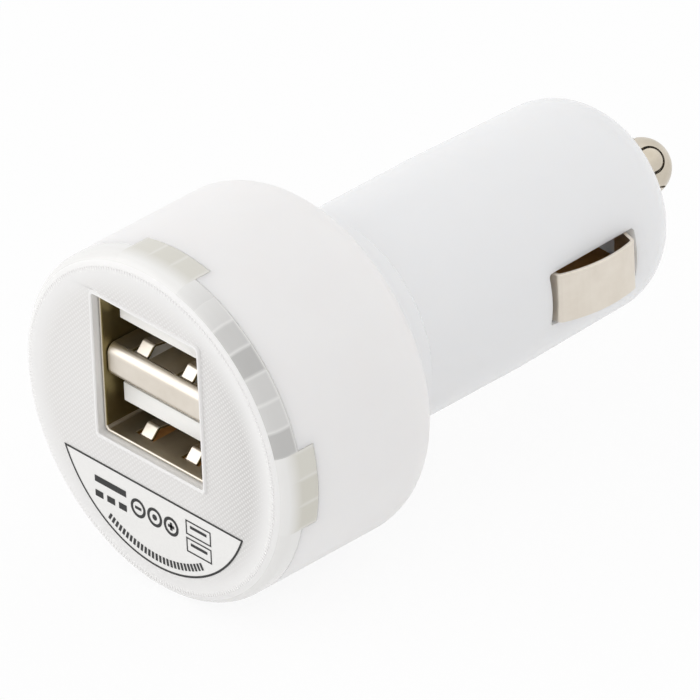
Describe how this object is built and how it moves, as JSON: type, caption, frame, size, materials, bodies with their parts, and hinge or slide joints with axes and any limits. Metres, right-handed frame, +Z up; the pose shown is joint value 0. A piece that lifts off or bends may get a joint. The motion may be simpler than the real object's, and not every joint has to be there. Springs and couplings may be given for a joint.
{
  "type": "car usb charger plug",
  "caption": "Round car charger plug for a 12 V socket: wide head with a clear front and stacked USB ports, slim barrel with side contact leaves and a sprung tip.",
  "frame": {"origin": "on the plug's axis at the rear shoulder of the head, where the plug stops in its socket", "axes": "+Y along the axis towards the sprung tip, +Z up with the port window above the axis, +X to the right seen from the ports"},
  "size_m": [0.0332, 0.0619, 0.0332],
  "materials": {
    "barrel_plastic": "gloss",
    "head_plastic": "milky gloss",
    "clear_plastic": "clear gloss",
    "nickel_plate": "plated, satin",
    "tongue_plastic": "moulded",
    "contact_gold": "plated",
    "spring_steel": "drawn wire",
    "seat_brass": "stamped",
    "phenolic_board": "satin",
    "ferrite": "ground",
    "copper_wire": "enamelled",
    "capacitor_sleeve": "shrunk sleeve",
    "chip_epoxy": "moulded",
    "ceramic_tan": "fired",
    "fuse_body": "coated",
    "led_lens": "clear"
  },
  "bodies": {
    "plug": {"barrel_housing": "barrel_plastic", "head_shell": "head_plastic", "front_cover": "clear_plastic", "usb_shell": "nickel_plate", "usb_middle_shield": "nickel_plate", "usb_insulator": "tongue_plastic", "upper_port_contacts": "contact_gold", "lower_port_contacts": "contact_gold", "tip_spring": "spring_steel", "spring_seat": "seat_brass", "main_board": "phenolic_board", "inductor_core": "ferrite", "inductor_winding": "copper_wire", "input_capacitor": "capacitor_sleeve", "output_capacitor": "capacitor_sleeve", "regulator_chip": "chip_epoxy", "rectifier_diode": "chip_epoxy", "fuse": "fuse_body", "ceramic_capacitors": "ceramic_tan", "chip_resistors": "chip_epoxy", "indicator_led": "led_lens"},
    "tip": {"tip_contact": "nickel_plate"},
    "left_contact": {"left_side_contact": "nickel_plate"},
    "right_contact": {"right_side_contact": "nickel_plate"}
  },
  "joints": [
    {"name": "tip_press", "type": "slide", "parent": "plug", "child": "tip", "axis": [0, -1, 0], "range_m": [0, 0.003], "stiffness_N_per_m": 400, "springref_m": -0.002, "deforming": ["tip_spring"]},
    {"name": "left_contact_press", "type": "slide", "parent": "plug", "child": "left_contact", "axis": [1, 0, 0], "range_m": [0, 0.00155], "stiffness_N_per_m": 600, "springref_m": -0.001},
    {"name": "right_contact_press", "type": "slide", "parent": "plug", "child": "right_contact", "axis": [-1, 0, 0], "range_m": [0, 0.00155], "stiffness_N_per_m": 600, "springref_m": -0.001}
  ]
}
